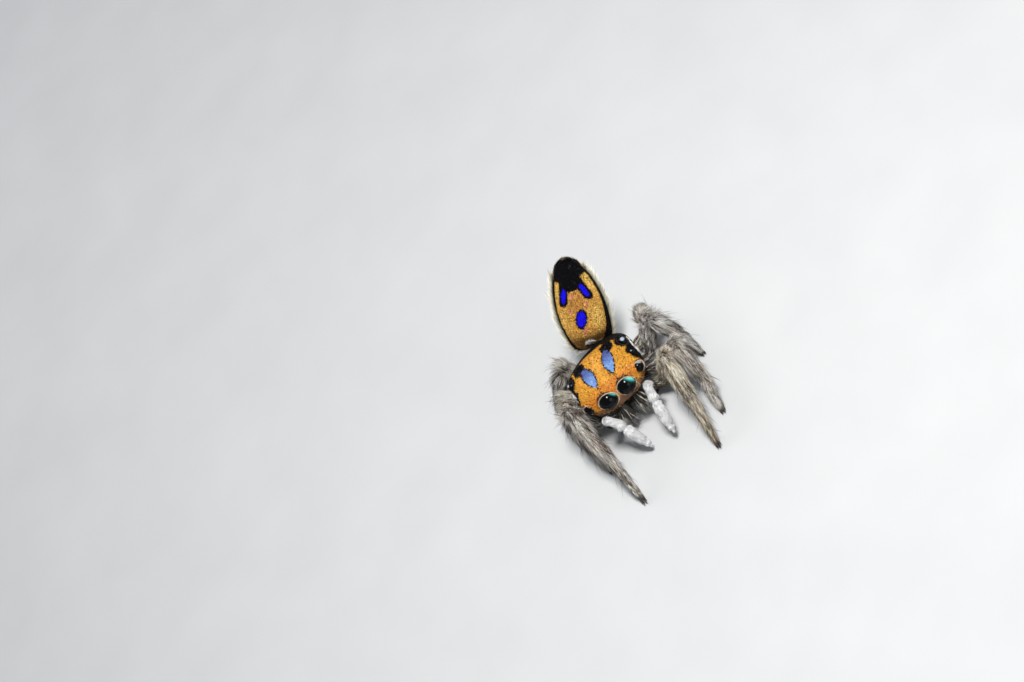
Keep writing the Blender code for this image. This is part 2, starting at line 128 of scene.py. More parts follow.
# The carapace: broad and flat above, square in front, falling steeply behind.
CARAPACE_WIDTH = 1.94
CARAPACE_FRONT, CARAPACE_REAR = -1.12, 1.2
CARAPACE_TOP = 1.86
CARAPACE_FLOOR = 0.70
CHEEK_FLOOR = 0.98
SCALE_DEPTH = 0.02


def carapace_surface(share, turn):
    back = CARAPACE_FRONT + (CARAPACE_REAR - CARAPACE_FRONT) * (1 - np.cos(np.pi * share)) / 2
    front = np.clip((-0.45 - back) / (-0.45 - CARAPACE_FRONT), 0, 0.99999)
    rear = np.clip((back + 0.05) / (CARAPACE_REAR + 0.05), 0, 0.99999)
    fall = np.clip((back - 0.05) / (CARAPACE_REAR - 0.05), 0, 1)
    half = CARAPACE_WIDTH / 2 * (1 - front**3.4) ** (1 / 3.4) * (1 - rear**2.1) ** (1 / 2.1)
    top = CARAPACE_TOP - 0.10 * front**2 - 0.94 * fall**1.15
    bottom = CARAPACE_FLOOR + (CHEEK_FLOOR - CARAPACE_FLOOR) * np.minimum(1, 1.5 * front) + 0.04 * rear
    edge = front**8
    top = top - (top - bottom) * 0.22 * edge
    bottom = bottom + (top - bottom) * 0.12 * edge
    power = 2 / (3.1 - 0.8 * np.minimum(1, 2 * fall))
    rise = np.sign(np.sin(turn)) * np.abs(np.sin(turn)) ** power
    reach = np.sign(np.cos(turn)) * np.abs(np.cos(turn)) ** power
    lean = 1 - 0.2 * np.maximum(0, -rise) ** 1.5
    half = half - SCALE_DEPTH
    tall = (top - bottom) / 2 - SCALE_DEPTH
    back = np.clip(back, CARAPACE_FRONT + SCALE_DEPTH, CARAPACE_REAR - SCALE_DEPTH)
    side = np.maximum(half, 0) * reach * lean
    return np.stack([side, back + 0 * turn, (top + bottom) / 2 + tall * rise], -1)


# The abdomen: raised from level, leaning to the left, flatter on its patterned back than on its belly.
ABDOMEN_LENGTH = 2.62
ABDOMEN_WIDTH = 1.27
ABDOMEN_DEPTH = 1.0
ABDOMEN_WIDEST = 0.39
BASE_TAPER, BASE_SLOPE = 0.2, 0.24
BACK_SHARE, BELLY_SHARE = 0.82, 1.18
ABDOMEN_BASE = np.array((-0.06, 1.32, 0.71))
ABDOMEN_RAISE = math.radians(73.7)
ABDOMEN_LEAN = math.radians(23.8)
ABDOMEN_TURN = math.radians(-2)
standing = np.array((0, math.cos(ABDOMEN_RAISE), math.sin(ABDOMEN_RAISE)))
to_left = np.array((1.0, 0, 0))
abdomen_along = standing * math.cos(ABDOMEN_LEAN) + to_left * math.sin(ABDOMEN_LEAN)
abdomen_across = to_left * math.cos(ABDOMEN_LEAN) - standing * math.sin(ABDOMEN_LEAN)
abdomen_across = np.array(Matrix.Rotation(ABDOMEN_TURN, 3, Vector(abdomen_along)) @ Vector(abdomen_across))
abdomen_back = np.cross(abdomen_across, abdomen_along)


def abdomen_surface(share, turn):
    share = np.clip(share, 0.004, 0.996)
    to_tip = np.clip((share - ABDOMEN_WIDEST) / (1 - ABDOMEN_WIDEST), 0, 1)
    to_base = np.clip((ABDOMEN_WIDEST - share) / ABDOMEN_WIDEST, 0, 1)
    blunt = (1 - BASE_TAPER * to_base**1.5) * (1 - to_base**10) ** 0.43
    half = ABDOMEN_WIDTH / 2 * np.where(share > ABDOMEN_WIDEST, np.sqrt(1 - to_tip**2), blunt) - SCALE_DEPTH
    half = np.maximum(half, 0.01)
    back_part = BACK_SHARE * np.minimum(1, 0.15 + share / BASE_SLOPE)
    tall = half * ABDOMEN_DEPTH / ABDOMEN_WIDTH * np.where(np.sin(turn) > 0, back_part, BELLY_SHARE)
    centre = ABDOMEN_BASE + abdomen_along * (ABDOMEN_LENGTH * share)[..., None]
    across = abdomen_across * (half * np.cos(turn))[..., None]
    return centre + across + abdomen_back * (tall * np.sin(turn))[..., None]


# The legs: knee, ankle and toe of each, as side (away from the middle), back and up.
STANCE = {
    ("left", 1): ((1.43, -1.12, 1.28), (1.32, -2.34, 0.80), (1.09, -3.26)),
    ("left", 2): ((1.71, -0.62, 0.90), (1.80, -1.76, 0.58), (1.64, -2.50)),
    ("left", 3): ((1.60, 0.12, 1.48), (1.93, -0.30, 0.82), (2.00, -0.64)),
    ("left", 4): ((1.45, 0.72, 0.62), (1.36, 1.40, 0.46), (1.40, 1.88)),
    ("right", 1): ((1.32, -0.47, 1.34), (1.20, -1.94, 0.80), (1.20, -3.06)),
    ("right", 2): ((1.47, -0.02, 0.75), (1.53, -1.08, 0.45), (1.52, -1.62)),
    ("right", 3): ((1.36, 0.60, 0.70), (1.72, 0.10, 0.30), (1.80, -0.32)),
    ("right", 4): ((0.94, 1.16, 1.04), (1.56, 1.04, 0.42), (1.88, 1.14)),
}
HIP_BACK = {1: -0.57, 2: -0.15, 3: 0.26, 4: 0.66}
HIP_SIDE, HIP_HEIGHT, HIP_REACH = 0.50, 0.40, 0.50
TOE_HEIGHT = 0.035
LEG_SKIN = 0.74


def leg_stations(word, sign, number):
    knee, ankle, toe = STANCE[word, number]
    root = np.array((sign * HIP_SIDE, HIP_BACK[number], HIP_HEIGHT))
    knee = np.array((sign * knee[0], knee[1], knee[2]))
    ankle = np.array((sign * ankle[0], ankle[1], ankle[2]))
    toe = np.array((sign * toe[0], toe[1], TOE_HEIGHT + 0.015))
    level = unit(np.array((knee[0] - root[0], knee[1] - root[1], 0)))
    hip = root + level * HIP_REACH + (0, 0, 0.04)
    bow = np.array((0, 0, 0.07))
    shin = ankle - knee
    foot = toe - ankle
    return [
        (root, 0.17),
        (hip, 0.19),
        (hip + (knee - hip) * 0.5, 0.225),
        (knee - unit(knee - hip) * 0.14, 0.20),
        (knee, 0.215),
        (knee + unit(shin) * 0.14, 0.205),
        (knee + shin * 0.38 + bow, 0.235),
        (knee + shin * 0.72 + bow, 0.215),
        (ankle, 0.15),
        (ankle + foot * 0.15 + bow * 0.3, 0.135),
        (ankle + foot * 0.6 + bow * 0.4, 0.12),
        (toe - foot * 0.05, 0.075),
    ]


# The palps, the short white feelers at the mouth, and the jaws between them with their folded fangs.
PALP_ARM = (
    (0.47, -0.84, 0.46, 0.09),
    (0.63, -1.06, 0.66, 0.11),
    (0.71, -1.17, 0.92, 0.115),
    (0.67, -1.27, 1.14, 0.11),
)
PALPS = {
    "left": ((0.60, -1.42, 1.02), (0.41, -2.14, 0.32)),
    "right": ((0.52, -1.42, 0.98), (0.29, -1.94, 0.24)),
}
JAW = (
    (0.225, -0.88, 0.92, 0.17),
    (0.235, -0.95, 0.81, 0.195),
    (0.245, -1.00, 0.65, 0.195),
    (0.25, -1.00, 0.50, 0.165),
    (0.235, -0.97, 0.39, 0.11),
)
FANG = (
    (0.29, -0.97, 0.42, 0.05),
    (0.23, -0.96, 0.31, 0.045),
    (0.14, -0.93, 0.28, 0.032),
    (0.08, -0.88, 0.30, 0.012),
)
PALP_SKIN = 0.8
SIDES = (("left", 1), ("right", -1))


def palp_stations(word, sign):
    joint, tip = (np.array((sign * side, back, up)) for side, back, up in PALPS[word])
    arm = [(np.array((sign * side, back, up)), half) for side, back, up, half in PALP_ARM]
    reach = tip - joint
    return arm + [
        (joint, 0.125),
        (joint + reach * 0.10 + (0, 0, 0.02), 0.135),
        (joint + reach * 0.22 + (0, 0, 0.03), 0.098),
        (joint + reach * 0.30 + (0, 0, 0.04), 0.125),
        (joint + reach * 0.48 + (0, 0, 0.05), 0.155),
        (joint + reach * 0.68 + (0, 0, 0.04), 0.150),
        (joint + reach * 0.88 + (0, 0, 0.01), 0.100),
        (tip, 0.045),
    ]


def mirrored(places, sign):
    return [(np.array((sign * side, back, up)), half) for side, back, up, half in places]


CHEST = (
    (0, -0.86, 0.52, 0.12),
    (0, -0.62, 0.54, 0.25),
    (0, 0.0, 0.56, 0.31),
    (0, 0.6, 0.54, 0.25),
    (0, 0.95, 0.54, 0.12),
)
WAIST = (
    (0, 0.80, 0.52, 0.12),
    (0, 1.14, 0.49, 0.09),
    (-0.02, 1.26, 0.55, 0.09),
    (-0.05, 1.36, 0.84, 0.10),
)
SPINNERS_AT = 0.81
parts = {"carapace": carapace_surface, "abdomen": abdomen_surface}
parts["chest"] = limb_surface(mirrored(CHEST, 1))
parts["waist"] = limb_surface(mirrored(WAIST, 1))
for word, sign in SIDES:
    parts[f"jaw_{word}"] = limb_surface(mirrored(JAW, sign), 0.93)
    parts[f"fang_{word}"] = limb_surface(mirrored(FANG, sign), 0.9)
    parts[f"palp_{word}"] = limb_surface(palp_stations(word, sign), PALP_SKIN)
    for number in HIP_BACK:
        parts[f"leg_{word}_{number}"] = limb_surface(leg_stations(word, sign, number), LEG_SKIN)
spinner_root = abdomen_surface(np.array(SPINNERS_AT), np.array(-np.pi / 2))
for i, (side, deep) in enumerate(((-1, 0.0), (1, 0.0), (-0.7, -0.06), (0.7, -0.06))):
    lie = unit(abdomen_along * 0.45 - abdomen_back * 0.9 - abdomen_across * side * 0.12)
    start = spinner_root - lie * 0.06 + abdomen_across * side * 0.05 + abdomen_along * deep
    spinner = [(start, 0.05), (start + lie * 0.16, 0.045), (start + lie * 0.28, 0.02)]
    parts[f"spinner_{i}"] = limb_surface(spinner)


def ring_shell(surface, along, around):
    """Points and faces of a closed shell over one part."""
    share, turn = np.meshgrid(np.linspace(0, 1, along), np.arange(around) / around * TAU, indexing="ij")
    index = np.arange(along * around).reshape(along, around)
    faces = [tuple(index[0]), tuple(index[-1])]
    for low, high in zip(index, index[1:]):
        faces += list(zip(low, np.roll(low, -1), np.roll(high, -1), high))
    return surface(share, turn).reshape(-1, 3), faces


def mesh_piece(name, points, faces):
    """A new object with this mesh, whose points are given in millimetres from under the carapace."""
    mesh = bpy.data.meshes.new(name)
    mesh.from_pydata(in_row(points), [], faces)
    mesh.shade_smooth()
    made = bpy.data.objects.new(name, mesh)
    bpy.context.scene.collection.objects.link(made)
    return made


SKIN_GRAIN = 0.026
shell_points, shell_faces, counted = [], [], 0
for part, surface in parts.items():
    fine = (72, 64) if part in ("carapace", "abdomen") else (60, 20)
    points, faces = ring_shell(surface, *fine)
    shell_points.append(points)
    shell_faces += [tuple(int(corner) + counted for corner in face) for face in faces]
    counted += len(points)
skin_mesh = bpy.data.meshes.new("skin")
skin_mesh.from_pydata(np.concatenate(shell_points), [], shell_faces)
skin = bpy.data.objects.new("skin", skin_mesh)
bpy.context.scene.collection.objects.link(skin)
grown = skin.modifiers.new("one_skin", "REMESH")
grown.mode, grown.voxel_size, grown.use_smooth_shade = "VOXEL", SKIN_GRAIN, True
eased = skin.modifiers.new("eased", "SMOOTH")
eased.factor, eased.iterations = 0.5, 3
bpy.context.view_layer.update()
skin_mesh = bpy.data.meshes.new_from_object(skin.evaluated_get(bpy.context.evaluated_depsgraph_get()))
skin.modifiers.clear()
skin.data = skin_mesh
skin_points = np.empty(len(skin_mesh.vertices) * 3)
skin_mesh.vertices.foreach_get("co", skin_points)
skin_points = skin_points.reshape(-1, 3)
skin_points[:, 2] = np.maximum(skin_points[:, 2], 0)
skin_mesh.vertices.foreach_set("co", in_row(skin_points).ravel())
skin_mesh.update()

skin_tree = kdtree.KDTree(len(skin_points))
for i, point in enumerate(skin_points):
    skin_tree.insert(point, i)
skin_tree.balance()

# The markings, which skin and coat share, with painted light on the skin of the legs.
# The colours sit in scales a few hundredths of a millimetre long. Pigment makes the orange, gold, cream and
# black, and a fine layered structure makes the blue.
BLACK = (0.002, 0.0017, 0.0024)
ORANGE = (0.86, 0.39, 0.045)
RED_ORANGE = (0.62, 0.15, 0.022)
PERIWINKLE = (0.10, 0.14, 0.42)
PALE_BLUE = (0.25, 0.43, 0.88)
GOLD = (0.56, 0.30, 0.06)
PALE_GOLD = (0.74, 0.46, 0.12)
TAN = (0.44, 0.20, 0.045)
BROWN = (0.13, 0.062, 0.02)
ROSE = (0.60, 0.20, 0.16)
VIOLET_BLUE = (0.010, 0.004, 0.70)
CREAM = (0.80, 0.72, 0.50)
BELLY_GREY = (0.30, 0.25, 0.19)
DARK_BROWN = (0.030, 0.022, 0.016)
WHITE = (0.86, 0.87, 0.88)

EYES = ("main", "front_side", "small", "rear")
eye_places = {}
for eye in EYES:
    for word, sign in SIDES:
        low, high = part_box(f"eye_{eye}_{word}")
        eye_places[eye, word] = np.array((low + high) / 2) / MM - HOME, (high.z - low.z) / 2 / MM


def laid(colours, over, mask):
    """One colour laid over others where the mask is 1."""
    return colours + (np.asarray(over) - colours) * mask[..., None]


def evenly(colour, count):
    """The same colour for this many places."""
    return np.tile(colour, (count, 1))


def carapace_marking(points):
    side, back, up = np.abs(points[:, 0]), points[:, 1], points[:, 2]
    toward_face = ramp(-back, 0.80, 1.05) * ramp(up, 1.3, 1.6) * 0.6
    colours = laid(evenly(ORANGE, len(points)), RED_ORANGE, toward_face)
    colours = laid(colours, (0.24, 0.09, 0.022), ramp(-up, -1.42, -1.26) * ramp(-back, 0.70, 0.85))
    colours = laid(colours, DARK_BROWN, ramp(-up, -1.10, -0.98))
    colours = laid(colours, BLACK, ramp(-up, -1.66, -1.60) * ramp(back, -0.80, -0.72))
    rear_line = 0.50 - 0.44 * ramp(side, 0.26, 0.44)
    colours = laid(colours, BLACK, ramp(back - rear_line, -0.02, 0.02))
    colours = laid(colours, BLACK, ramp(side, 0.83, 0.86) * ramp(back, -0.78, -0.70))
    behind_oval = np.hypot((side - 0.45) / 0.19, (back + 0.04) / 0.19)
    colours = laid(colours, BLACK, ramp(-behind_oval, -1.04, -0.92))
    middle = 0.31 + 0.116 * (back + 0.505)
    along = (back + 0.49) / 0.375
    width = 0.142 * np.where(
        along < 0, np.clip(1 - np.abs(along) ** 1.7, 0, 1), np.sqrt(np.clip(1 - np.abs(along) ** 2.4, 0, 1))
    )
    inside = width - np.abs(side - middle) - 0.02 * (np.abs(along) > 1)
    colours = laid(colours, BLACK, ramp(inside, -0.034, -0.024))
    blue = np.asarray(PERIWINKLE) + (np.asarray(PALE_BLUE) - PERIWINKLE) * ramp(-back, 0.22, 0.62)[:, None]
    colours = laid(colours, blue, ramp(inside, 0.002, 0.012))
    for (eye, word), (centre, radius) in eye_places.items():
        near = np.linalg.norm(points - centre, axis=1) - radius
        if eye in ("rear", "small"):
            colours = laid(colours, BLACK, ramp(-near, -0.10, -0.07))
        else:
            colours = laid(colours, (0.05, 0.03, 0.02), ramp(-near, -0.022, -0.012))
    return colours


MIDLINE = math.radians(96)
ROSE_SPOTS = ((0.66, 8, 0.035, 9), (0.545, -22, 0.035, 8), (0.517, 21, 0.03, 7), (0.27, 4, 0.06, 9))


def lean_of(turn):
    """Degrees round the abdomen from the middle of its back, more than 0 on its right side."""
    return np.degrees((turn - MIDLINE + np.pi) % TAU - np.pi)


def spot(share, lean, place, turned, tall, wide):
    """0 in the middle of an oval spot and 1 on its rim."""
    return np.hypot((share - place) / tall, (lean - turned) / wide)


def abdomen_marking(share, turn):
    """Colours over the abdomen by share of its length and by turn round it."""
    lean = lean_of(turn)
    off = np.abs(lean)
    colours = evenly(GOLD, len(share))
    colours = laid(colours, PALE_GOLD, ramp(-spot(share, lean, 0.36, -38, 0.20, 26), -1.0, -0.3) * 0.8)
    colours = laid(colours, PALE_GOLD, ramp(-spot(share, lean, 0.40, 50, 0.16, 22), -1.0, -0.3) * 0.5)
    colours = laid(colours, PALE_GOLD, ramp(share, 0.60, 0.66) * ramp(off, 44, 50) * 0.8)
    colours = laid(colours, TAN, ramp(-spot(share, off, 0.60, 0, 0.18, 32), -1.0, -0.5) * 0.9)
    for rose_spot in ROSE_SPOTS:
        colours = laid(colours, ROSE, ramp(-spot(share, lean, *rose_spot), -1.1, -0.4) * 0.75)
    colours = laid(colours, BROWN, ramp(-share, -0.33, -0.12) * 0.9)
    colours = laid(colours, BLACK, ramp(share, 0.812, 0.825))
    colours = laid(colours, BLACK, ramp(share, 0.708, 0.720) * ramp(-off, -43, -40))
    slant = 25 + (0.76 - share) * 65
    column = np.hypot(np.maximum(0.62 - share, 0) / 0.048, (off - slant - 1) / 14)
    colours = laid(colours, BLACK, ramp(-column, -1.06, -0.96) * ramp(share, 0.55, 0.56))
    colours = laid(colours, VIOLET_BLUE, ramp(-spot(share, off - slant, 0.680, 0, 0.078, 7.5), -1.03, -0.93))
    slant = (0.41 - share) * 60
    colours = laid(colours, BLACK, ramp(-spot(share, lean - slant, 0.407, 2, 0.108, 14.5), -1.04, -0.96))
    violet = spot(share, lean - slant, 0.410, 2, 0.084, 10.5)
    colours = laid(colours, VIOLET_BLUE, ramp(-violet, -1.04, -0.94))
    colours = laid(colours, WHITE, ramp(-spot(share, lean, 0.128, 2, 0.035, 13), -1.0, -0.7))
    right_edge = np.interp(share, (0.05, 0.25, 0.50, 0.76, 1.0), (48, 62, 67, 62, 60))
    left_edge = np.interp(share, (0.10, 0.16, 0.24, 0.46, 0.62, 0.85), (40, 46, 56, 68, 74, 74))
    edge = np.where(lean > 0, right_edge, left_edge)
    colours = laid(colours, BLACK, ramp(off - edge, -2, 1))
    flank = laid(evenly(CREAM, len(share)), BELLY_GREY, ramp(off, 114, 137))
    flank = laid(flank, BLACK, ramp(share, 0.84, 0.90) * ramp(-off, -150, -130))
    return np.where((off > np.where(lean > 0, 86, 98))[:, None], flank, colours)


def leg_marking_and_painted_light(points, share, turn):
    # Painted light: the skin of each leg is lighter on its upper side and darker on its underside, beyond
    # the first part of the leg.
    shade = 0.5 + 0.5 * np.sin(turn)
    colours = evenly((0.055, 0.045, 0.036), len(share))
    colours = laid(colours, (0.13, 0.105, 0.08), shade * ramp(share, 0.2, 0.5))
    return laid(colours, DARK_BROWN, ramp(share, 0.95, 1.0))


def marking_and_painted_light_of(part, points, share, turn):
    if part == "carapace":
        return carapace_marking(points)
    if part == "abdomen":
        return abdomen_marking(share, turn)
    if part.startswith("leg"):
        return leg_marking_and_painted_light(points, share, turn)
    if part.startswith("palp"):
        return laid(evenly(DARK_BROWN, len(share)), WHITE, ramp(share, 0.20, 0.25) * 0.9)
    if part.startswith("jaw"):
        return evenly((0.010, 0.007, 0.005), len(share))
    if part.startswith("fang"):
        return evenly((0.05, 0.018, 0.010), len(share))
    return evenly(DARK_BROWN, len(share))


sampled, sample_colours = [], []
for part, surface in parts.items():
    fine = (170, 140) if part in ("carapace", "abdomen") else (90, 16)
    share, turn = np.meshgrid(np.linspace(0, 1, fine[0]), np.arange(fine[1]) / fine[1] * TAU, indexing="ij")
    share, turn = share.ravel(), turn.ravel()
    points = surface(share, turn)
    sampled.append(points)
    sample_colours.append(marking_and_painted_light_of(part, points, share, turn))
sampled, sample_colours = np.concatenate(sampled), np.concatenate(sample_colours)
sample_tree = kdtree.KDTree(len(sampled))
for i, point in enumerate(sampled):
    sample_tree.insert(point, i)
sample_tree.balance()
nearest = [sample_tree.find(point)[1] for point in skin_points]
skin_tints = np.concatenate([sample_colours[nearest], np.ones((len(nearest), 1))], axis=1)
skin_mesh.color_attributes.new("Tint", "FLOAT_COLOR", "POINT").data.foreach_set("color", skin_tints.ravel())


class Wire:
    """A number on its way through a finish, so that sums on it are written as sums."""

    def __init__(self, finish, socket):
        self.finish, self.socket = finish, socket

    def sum(self, operation, first, second):
        return self.finish.node("ShaderNodeMath", {"operation": operation}, {0: first, 1: second})

    def __add__(self, other):
        return self.sum("ADD", self, other)

    def __mul__(self, other):
        return self.sum("MULTIPLY", self, other)

    def __pow__(self, other):
        return self.sum("POWER", self, other)

    __radd__ = __add__
    __rmul__ = __mul__


class Finish:
    """One material, built node by node round its Principled shader."""

    def __init__(self, name, **uniform):
        self.material = bpy.data.materials.new(name)
        self.material.use_nodes = True
        self.tree = self.material.node_tree
        self.shader = self.tree.nodes["Principled BSDF"]
        for socket, value in uniform.items():
            self.shader.inputs[socket.replace("_", " ")].default_value = value

    def node(self, kind, settings=None, inputs=None, output=0):
        made = self.tree.nodes.new(kind)
        for name, value in (settings or {}).items():
            setattr(made, name, value)
        for name, value in (inputs or {}).items():
            self.join(made.inputs[name], value)
        return Wire(self, made.outputs[output])

    def join(self, socket, value):
        if isinstance(value, Wire):
            self.tree.links.new(value.socket, socket)
        else:
            socket.default_value = value

    def feed(self, **varying):
        for socket, value in varying.items():
            self.join(self.shader.inputs[socket.replace("_", " ")], value)

    def place(self):
        """Object space in millimetres."""
        where = self.node("ShaderNodeTexCoord", output=3)
        return self.node("ShaderNodeVectorMath", {"operation": "SCALE"}, {0: where, "Scale": 1 / MM})

    def noise(self, scale, detail=2.0, where=None):
        return self.node(
            "ShaderNodeTexNoise", inputs={"Vector": where or self.place(), "Scale": scale, "Detail": detail}
        )

    def mix(self, share, first, second):
        return self.node("ShaderNodeMix", {"data_type": "RGBA"}, {0: share, 6: first, 7: second}, output=2)

    def tint(self):
        return self.node("ShaderNodeAttribute", {"attribute_name": "Tint"})


cuticle = Finish("cuticle", IOR=1.5)
grain = cuticle.noise(38.0, 4.0)
pits = cuticle.node("ShaderNodeTexVoronoi", inputs={"Vector": cuticle.place(), "Scale": 42.0})
worn = cuticle.mix(0.45 + 0.45 * grain, (0.003, 0.0025, 0.002, 1), cuticle.tint())
cuticle.feed(
    Base_Color=worn,
    Roughness=0.34 + 0.35 * grain,
    Normal=cuticle.node(
        "ShaderNodeBump", inputs={"Strength": 0.5, "Distance": 0.006 * MM, "Height": pits + grain}
    ),
)
skin_mesh.materials.append(cuticle.material)
flesh = [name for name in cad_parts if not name.startswith("eye")]
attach(skin, "root")
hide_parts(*flesh)

# The scales of the carapace.
# Short flat scales cover the top of the head and chest like tiles, each lapping over the one behind it. They
# are rooted in the skin and lie toward the rear.
draw = np.random.default_rng(7)
HAIR_STEPS = np.array((0.0, 0.3, 0.62))
SCALE_OUTLINE = np.array(
    [(0, 0), (0.5, 0.32), (0.42, 0.78), (0, 1.0), (-0.42, 0.78), (-0.5, 0.32), (0, 0.5), (0, 0.5)]
)
SCALE_FACES = np.array([(i, (i + 1) % 6, 6) for i in range(6)] + [((i + 1) % 6, i, 7) for i in range(6)])


def hair_faces():
    faces = [(0, 1, 2)]
    for step in range(len(HAIR_STEPS) - 1):
        for side in range(3):
            a, b = 3 * step + side, 3 * step + (side + 1) % 3
            faces += [(a, a + 3, b + 3), (a, b + 3, b)]
    last = 3 * (len(HAIR_STEPS) - 1)
    return np.array(faces + [(last + side, last + 3, last + (side + 1) % 3) for side in range(3)])


class Roots:
    """Where tufts grow on one part: place, outward direction, lie, and share and turn on its surface."""

    def __init__(self, part, count, chance=None):
        surface = parts[part]
        share, turn = draw.random(count * 9), draw.random(count * 9) * TAU
        step = 2e-3
        ahead = surface(np.minimum(share + step, 1), turn) - surface(np.maximum(share - step, 0), turn)
        beside = surface(share, turn + step) - surface(share, turn - step)
        crossed = np.cross(ahead, beside)
        area = np.linalg.norm(crossed, axis=1)
        place = surface(share, turn)
        likely = area / np.quantile(area, 0.97)
        if chance is not None:
            likely = likely * chance(place, share, turn)
        kept = np.flatnonzero(draw.random(len(likely)) < likely)[: int(count * 1.25)]
        kept = np.array([i for i in kept if skin_tree.find(place[i])[2] < 1.6 * SKIN_GRAIN])[:count]
        self.place, self.share, self.turn = place[kept], share[kept], turn[kept]
        out = unit(crossed[kept])
        axis = (surface(self.share, self.turn) + surface(self.share, self.turn + np.pi)) / 2
        self.out = out * np.sign(np.sum(out * (self.place - axis), axis=1))[:, None]
        self.lie = unit(ahead[kept])
        self.part = part

    def __len__(self):
        return len(self.place)

    def marking(self, spread=0.012):
        """The marking at each root, read a little to one side so that colours meet in a ragged line."""
        nudge = draw.normal(0, spread, len(self))
        return marking_and_painted_light_of(
            self.part, self.place + nudge[:, None], self.share + nudge * 0.4, self.turn + nudge * 1.5
        )

    def turned(self, spread):
        """The lie of each tuft, swung at random by about this many radians."""
        side = np.cross(self.lie, self.out)
        swing = draw.normal(0, spread, len(self))[:, None]
        return unit(self.lie * np.cos(swing) + side * np.sin(swing))

    def unwrap(self, column=0, columns=1):
        """Each root's place on the skin's unwrap, in one of the columns where parts share a mesh."""
        across = (column + 0.02 + 0.96 * (self.turn % TAU) / TAU) / columns
        return np.stack([across, 0.01 + 0.98 * np.clip(self.share, 0, 1)], -1)


class Coat:
    """Tufts joined into one mesh, each with its own colour and small patch on an unwrap of the skin."""

    PATCH = 0.003

    def __init__(self):
        self.points, self.faces, self.tints, self.patches, self.count = [], [], [], [], 0

    def add(self, points, faces, corners, tints, unwrap):
        tufts, size, _ = points.shape
        self.faces.append((np.arange(tufts)[:, None, None] * size + faces + self.count).reshape(-1, 3))
        self.count += tufts * size
        self.points.append(points.reshape(-1, 3))
        self.tints.append(tints.reshape(-1, 3))
        self.patches.append((unwrap[:, None] + (corners - 0.5) * self.PATCH).reshape(-1, 2))

    def scales(self, roots, lie, length, width, tilt, tints):
        """Flat scales, thin at the rim, each with its tip tilted up over the next."""
        side = np.cross(lie, roots.out)
        size = len(roots)
        length, width, tilt = (
            np.broadcast_to(value, size)[:, None, None] for value in (length, width, tilt)
        )
        over, along = SCALE_OUTLINE[:, 0, None], SCALE_OUTLINE[:, 1, None]
        thick = np.array([0, 0, 0, 0, 0, 0, 0.16, -0.05])[:, None]
        points = roots.place[:, None] - roots.out[:, None] * 0.004
        points = points + lie[:, None] * length * along + side[:, None] * width * over
        points = points + roots.out[:, None] * (tilt * length * along + width * thick)
        # Painted shade: each scale is darker at its root, where it lies under the one before, and lighter
        # toward its raised tip.
        shade = 0.72 + 0.34 * SCALE_OUTLINE[:, 1]
        corners = np.stack([SCALE_OUTLINE[:, 0] + 0.5, SCALE_OUTLINE[:, 1]], -1)
        self.add(points, SCALE_FACES, corners, tints[:, None] * shade[None, :, None], roots.unwrap())

    def hairs(self, roots, lie, length, width, rise, tints, fall=0.0, root_to_tip_shade=0.25, columns=(0, 1)):
        """Tapered hairs that leave the skin, bend over and run along their lie, sagging by their fall."""
        side = np.cross(lie, roots.out)
        size = len(roots)
        length, width, rise, fall = (
            np.broadcast_to(value, size)[:, None] for value in (length, width, rise, fall)
        )
        sway = draw.normal(0, 0.06, size)[:, None]
        down = np.array((0, 0, -1.0))
        rings, corners = [], []

        def centre(t):
            lifted = rise * (1 - (1 - t) ** 2) - (0.012 if t == 0 else 0)
            return (
                roots.place + lie * length * t + roots.out * lifted + side * length * sway * t * t
                + down * fall * length * t * t
            )

        for t in HAIR_STEPS:
            half = width / 2 * (1.0, 0.92, 0.66)[int(np.searchsorted(HAIR_STEPS, t))]
            for k in range(3):
                turn = TAU * (k + 0.25) / 3
                corner = centre(t) + side * half * math.cos(turn)
                rings.append(corner + roots.out * half * 0.6 * math.sin(turn))
                corners.append((k / 2, t))
        points = np.stack([*rings, centre(1.0)], axis=1)
        corners = np.array([*corners, (0.5, 1.0)])
        # Painted shade: each hair is darker at its root, down in the coat, and lighter toward its tip.
        shade = (0.75 + root_to_tip_shade * 2 * corners[:, 1])[None, :, None]
        self.add(points, hair_faces(), corners, tints[:, None] * shade, roots.unwrap(*columns))

    def build(self, name, finish):
        points = np.concatenate(self.points)
        points[:, 2] = np.maximum(points[:, 2], 0.002)
        made = mesh_piece(name, points, np.concatenate(self.faces))
        tints = np.concatenate(self.tints)
        tints = np.concatenate([np.clip(tints, 0, 1), np.ones((len(tints), 1))], axis=1)
        tint_layer = made.data.color_attributes.new("Tint", "FLOAT_COLOR", "POINT")
        tint_layer.data.foreach_set("color", tints.ravel())
        patches = np.concatenate(self.patches)[np.concatenate(self.faces).ravel()]
        made.data.uv_layers.new(name="OFBake").data.foreach_set("uv", patches.ravel())
        made.data.materials.append(finish.material)
        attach(made, "root")
        print(name, len(made.data.polygons), "triangles")


def varied(tints, light=0.2, hue=0.06):
    """Each tuft a little lighter or darker and of a slightly other hue than its neighbours."""
    size = len(tints)
    return tints * np.exp(draw.normal(0, light, size))[:, None] * np.exp(draw.normal(0, hue, (size, 3)))


def flecked(tints, share, colour):
    """This share of the tufts in another colour."""
    return laid(tints, colour, (draw.random(len(tints)) < share) * 1.0)


scale_finish = Finish("scale_sheen", IOR=1.5, Specular_IOR_Level=0.05)
speck = scale_finish.noise(60.0, 2.0)
scale_finish.feed(
    Base_Color=scale_finish.mix(0.8 + 0.2 * speck, (0.003, 0.0025, 0.003, 1), scale_finish.tint()),
    Roughness=0.5 + 0.2 * speck,
    Normal=scale_finish.node(
        "ShaderNodeBump",
        inputs={"Strength": 0.25, "Distance": 0.002 * MM, "Height": scale_finish.noise(160.0)},
    ),
)

